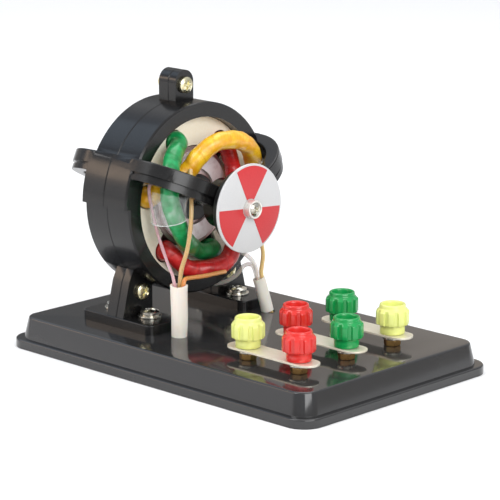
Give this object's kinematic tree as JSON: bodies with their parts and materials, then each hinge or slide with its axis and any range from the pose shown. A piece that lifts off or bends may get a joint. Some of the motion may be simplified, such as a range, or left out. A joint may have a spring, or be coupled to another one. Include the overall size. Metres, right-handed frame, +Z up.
{
  "type": "demonstration electric motor",
  "caption": "Open-frame three-phase motor with a sectored disc on its shaft, on a black tray with coloured screw terminals joined by flat links.",
  "frame": {"origin": "middle of the tray's underside", "axes": "+Z up, +X along the tray from the motor towards the terminals, +Y away from the near terminal row"},
  "size_m": [0.2, 0.13, 0.1358],
  "materials": {
    "tray_black": "glossy black moulded plastic",
    "frame_black": "semi-gloss black moulded plastic",
    "core_steel": "laminated electrical steel",
    "plate_cream": "cream insulating plate",
    "tape_green": "satin green winding tape",
    "tape_yellow": "satin amber-yellow winding tape",
    "tape_red": "satin red winding tape",
    "film_clear": "clear film",
    "rotor_steel": "turned laminated rotor",
    "cage_aluminium": "cast aluminium",
    "shaft_steel": "ground steel",
    "part_black": "satin black plastic",
    "disc_silver": "light printed disc",
    "disc_red": "red printed sector",
    "screw_steel": "nickel-plated steel",
    "screw_zinc": "yellow zinc-plated steel",
    "brass": "turned brass",
    "link_metal": "tin-plated flat link",
    "cap_yellow": "lemon yellow plastic",
    "cap_red": "red plastic",
    "cap_green": "green plastic",
    "sleeve_white": "white sleeve",
    "lead_pink": "pink lead insulation",
    "lead_amber": "amber lead insulation",
    "lead_orange": "orange lead insulation",
    "lead_straw": "straw lead insulation",
    "lead_clear": "clear lead insulation",
    "bush_bronze": "sintered bronze"
  },
  "bodies": {
    "motor_and_tray": {"base_tray": "tray_black", "front_housing": "frame_black", "rear_housing": "frame_black", "stator_core": "core_steel", "front_end_plate": "plate_cream", "rear_end_plate": "plate_cream", "coil_green": "tape_green", "coil_yellow": "tape_yellow", "coil_red": "tape_red", "coil_wrap_film": "film_clear", "front_bush": "bush_bronze", "rear_bush": "bush_bronze", "clamp_screws": "screw_zinc", "clamp_nuts": "screw_zinc", "foot_screws": "screw_steel", "foot_washers": "screw_steel", "foot_nuts": "screw_steel", "left_sleeve": "sleeve_white", "right_sleeve": "sleeve_white", "lead_pink": "lead_pink", "lead_amber": "lead_amber", "lead_orange": "lead_orange", "lead_straw": "lead_straw", "lead_clear_front": "lead_clear", "lead_clear_rear": "lead_clear", "post_studs": "brass", "post_nuts": "brass", "post_washers": "screw_steel", "solder_tags": "link_metal", "link_bar_near": "link_metal", "link_bar_middle": "link_metal", "link_bar_far": "link_metal"},
    "rotor": {"rotor_core": "rotor_steel", "rotor_cage": "cage_aluminium", "rotor_shaft": "shaft_steel", "rotor_collar_front": "part_black", "rotor_collar_rear": "part_black", "rear_stop_collar": "brass", "disc_carrier": "part_black", "sector_disc": "disc_silver", "disc_red_sectors": "disc_red", "disc_screw": "screw_steel", "disc_boss": "screw_steel"},
    "insert_near_left": {"insert_near_left": "brass"},
    "cap_near_left": {"cap_near_left": "cap_yellow"},
    "insert_near_right": {"insert_near_right": "brass"},
    "cap_near_right": {"cap_near_right": "cap_red"},
    "insert_middle_left": {"insert_middle_left": "brass"},
    "cap_middle_left": {"cap_middle_left": "cap_red"},
    "insert_middle_right": {"insert_middle_right": "brass"},
    "cap_middle_right": {"cap_middle_right": "cap_green"},
    "insert_far_left": {"insert_far_left": "brass"},
    "cap_far_left": {"cap_far_left": "cap_green"},
    "insert_far_right": {"insert_far_right": "brass"},
    "cap_far_right": {"cap_far_right": "cap_yellow"}
  },
  "joints": [
    {"name": "rotor_spin", "type": "hinge", "parent": "motor_and_tray", "child": "rotor", "pos_m": [-0.046, 0, 0.0745], "axis": [1, 0, 0], "continuous": true},
    {"name": "rise_near_left", "type": "slide", "parent": "motor_and_tray", "child": "insert_near_left", "axis": [0, 0, 1], "range_m": [0, 0.0028]},
    {"name": "turn_near_left", "type": "hinge", "parent": "insert_near_left", "child": "cap_near_left", "pos_m": [0.0375, -0.0365, 0.0278], "axis": [0, 0, 1], "range_deg": [0, 1440]},
    {"name": "rise_near_right", "type": "slide", "parent": "motor_and_tray", "child": "insert_near_right", "axis": [0, 0, 1], "range_m": [0, 0.0028]},
    {"name": "turn_near_right", "type": "hinge", "parent": "insert_near_right", "child": "cap_near_right", "pos_m": [0.0695, -0.0365, 0.0278], "axis": [0, 0, 1], "range_deg": [0, 1440]},
    {"name": "rise_middle_left", "type": "slide", "parent": "motor_and_tray", "child": "insert_middle_left", "axis": [0, 0, 1], "range_m": [0, 0.0028]},
    {"name": "turn_middle_left", "type": "hinge", "parent": "insert_middle_left", "child": "cap_middle_left", "pos_m": [0.0375, -0.0045, 0.0278], "axis": [0, 0, 1], "range_deg": [0, 1440]},
    {"name": "rise_middle_right", "type": "slide", "parent": "motor_and_tray", "child": "insert_middle_right", "axis": [0, 0, 1], "range_m": [0, 0.0028]},
    {"name": "turn_middle_right", "type": "hinge", "parent": "insert_middle_right", "child": "cap_middle_right", "pos_m": [0.0695, -0.0045, 0.0278], "axis": [0, 0, 1], "range_deg": [0, 1440]},
    {"name": "rise_far_left", "type": "slide", "parent": "motor_and_tray", "child": "insert_far_left", "axis": [0, 0, 1], "range_m": [0, 0.0028]},
    {"name": "turn_far_left", "type": "hinge", "parent": "insert_far_left", "child": "cap_far_left", "pos_m": [0.0375, 0.0275, 0.0278], "axis": [0, 0, 1], "range_deg": [0, 1440]},
    {"name": "rise_far_right", "type": "slide", "parent": "motor_and_tray", "child": "insert_far_right", "axis": [0, 0, 1], "range_m": [0, 0.0028]},
    {"name": "turn_far_right", "type": "hinge", "parent": "insert_far_right", "child": "cap_far_right", "pos_m": [0.0695, 0.0275, 0.0278], "axis": [0, 0, 1], "range_deg": [0, 1440]}
  ],
  "couplings": [
    {"joint": "turn_near_left", "follows": "rise_near_left", "rad_per_m": 8976},
    {"joint": "turn_near_right", "follows": "rise_near_right", "rad_per_m": 8976},
    {"joint": "turn_middle_left", "follows": "rise_middle_left", "rad_per_m": 8976},
    {"joint": "turn_middle_right", "follows": "rise_middle_right", "rad_per_m": 8976},
    {"joint": "turn_far_left", "follows": "rise_far_left", "rad_per_m": 8976},
    {"joint": "turn_far_right", "follows": "rise_far_right", "rad_per_m": 8976}
  ]
}
